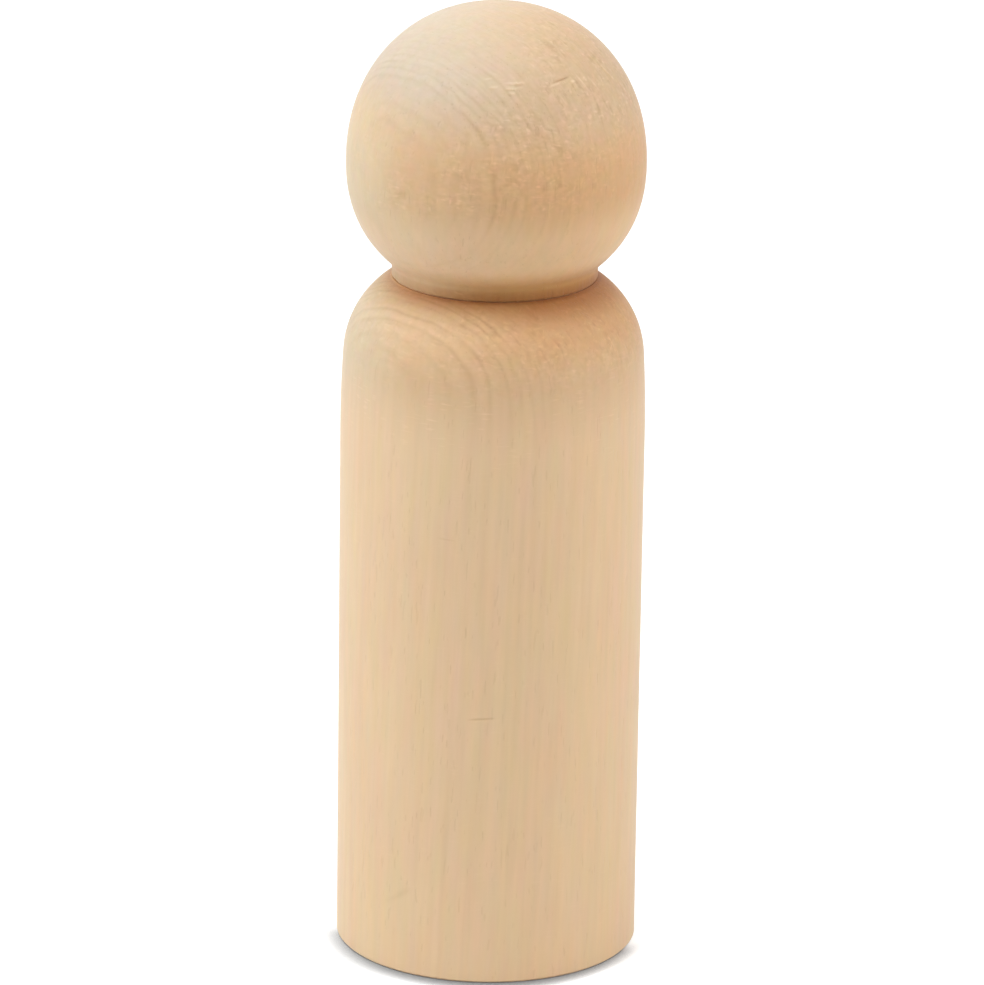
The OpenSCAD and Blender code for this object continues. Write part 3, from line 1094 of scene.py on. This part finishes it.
def soft_lamp(name, power, azimuth, elevation, tint, aim_z):
    """A square soft lamp that looks at the middle of the doll."""
    data = bpy.data.lights.new(name, "AREA")
    data.shape = "SQUARE"
    data.size = LAMP_SIZE
    data.energy = power
    data.color = tint
    lamp = bpy.data.objects.new(name, data)
    bpy.context.scene.collection.objects.link(lamp)
    turn, rise = radians(azimuth), radians(elevation)
    ray = Vector((sin(turn) * cos(rise), -cos(turn) * cos(rise), sin(rise)))
    lamp.location = Vector((0.0, 0.0, aim_z)) + ray * LAMP_DISTANCE
    lamp.rotation_euler = ray.to_track_quat("Z", "Y").to_euler()


def room_light(studio):
    """White all round in view, and an even light on the doll."""
    world = bpy.data.worlds.new("room")
    bpy.context.scene.world = world
    n = Nodes(world)
    strength = n.blended(seen_share(n), studio.room_light, 1.0)
    background = n.add("ShaderNodeBackground")
    n.feed(background.inputs["Strength"], strength)
    n.feed(background.inputs["Color"], (*WHITE, 1.0))
    output = n.add("ShaderNodeOutputWorld")
    n.feed(output.inputs["Surface"], background.outputs[0])


def place_camera(studio):
    """The camera, a long way off and slightly above the doll."""
    data = bpy.data.cameras.new("camera")
    data.lens = studio.lens
    data.sensor_width = SENSOR_WIDTH
    data.clip_start = NEAREST_VIEW
    data.clip_end = FARTHEST_VIEW
    camera = bpy.data.objects.new("camera", data)
    bpy.context.scene.collection.objects.link(camera)
    bpy.context.scene.camera = camera
    rise, roll = studio.view_elevation, studio.view_roll
    back = Vector((0.0, -cos(rise), sin(rise)))
    level_right = Vector((1.0, 0.0, 0.0))
    level_up = back.cross(level_right)
    right = level_right * cos(roll) + level_up * sin(roll)
    up = level_up * cos(roll) - level_right * sin(roll)
    turn = Matrix((right, up, back)).transposed().to_4x4()
    aim = Vector((studio.aim_x, 0.0, studio.aim_z))
    camera.matrix_world = Matrix.Translation(aim + back * studio.view_distance) @ turn


# Operators


class PEGDOLL_OT_body(bpy.types.Operator):
    """Makes the body with its socket, in place of the CAD body"""

    bl_idname = "peg_doll.body"
    bl_label = "Body"

    def execute(self, context):
        outline = body_outline(context.scene.peg_doll_shape)
        body = turned_piece("body_wood", outline, BODY_MARKS)
        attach(body, "root")
        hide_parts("body")
        return {"FINISHED"}


class PEGDOLL_OT_head(bpy.types.Operator):
    """Makes the head with its neck and tenon, in place of the CAD head"""

    bl_idname = "peg_doll.head"
    bl_label = "Head"

    def execute(self, context):
        outline = head_outline(context.scene.peg_doll_shape)
        head = turned_piece("head_wood", outline, HEAD_MARKS)
        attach(head, "root")
        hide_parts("head")
        return {"FINISHED"}


class PEGDOLL_OT_studio(bpy.types.Operator):
    """Makes the white floor, the soft lamps, the room's light and the camera"""

    bl_idname = "peg_doll.studio"
    bl_label = "Studio"

    def execute(self, context):
        studio = context.scene.peg_doll_studio
        half = studio.floor_size / 2
        mesh = bpy.data.meshes.new("floor")
        corners = [(-half, -half, 0.0), (half, -half, 0.0), (half, half, 0.0), (-half, half, 0.0)]
        mesh.from_pydata(corners, [], [(0, 1, 2, 3)])
        mesh.materials.append(paper_material(studio))
        floor = bpy.data.objects.new("floor", mesh)
        context.scene.collection.objects.link(floor)
        for name, setting, azimuth, elevation, tint in LAMPS:
            soft_lamp(name, getattr(studio, setting), azimuth, elevation, tint, studio.aim_z)
        room_light(studio)
        place_camera(studio)
        context.scene.view_settings.view_transform = "Standard"
        return {"FINISHED"}


class PEGDOLL_PT_sidebar(bpy.types.Panel):
    """Sizes, wood, light and the steps that make the doll"""

    bl_idname = "PEGDOLL_PT_sidebar"
    bl_label = "Peg Doll"
    bl_space_type = "VIEW_3D"
    bl_region_type = "UI"
    bl_category = "Peg Doll"

    def draw(self, context):
        for group_name in GROUPS:
            group = getattr(context.scene, group_name)
            box = self.layout.box()
            for name in group.bl_rna.properties.keys():
                if name not in ("rna_type", "name"):
                    box.prop(group, name)
        for operator in MAKERS:
            self.layout.operator(operator.bl_idname)


GROUPS = {
    "peg_doll_shape": DollShape,
    "peg_doll_surface": DollSurface,
    "peg_doll_wood": WoodLook,
    "peg_doll_studio": Studio,
}
MAKERS = (PEGDOLL_OT_studio, PEGDOLL_OT_body, PEGDOLL_OT_head)


def register():
    """Registers the classes and gives the scene its settings."""
    for kind in (*GROUPS.values(), *MAKERS, PEGDOLL_PT_sidebar):
        bpy.utils.register_class(kind)
    for name, kind in GROUPS.items():
        setattr(bpy.types.Scene, name, PointerProperty(type=kind))


def unregister():
    """Takes the settings and the classes away again."""
    for name in GROUPS:
        delattr(bpy.types.Scene, name)
    for kind in reversed((*GROUPS.values(), *MAKERS, PEGDOLL_PT_sidebar)):
        bpy.utils.unregister_class(kind)


def main():
    """Makes the doll in its studio."""
    register()
    bpy.ops.peg_doll.studio()
    bpy.ops.peg_doll.body()
    bpy.ops.peg_doll.head()


if __name__ == "__main__":
    main()
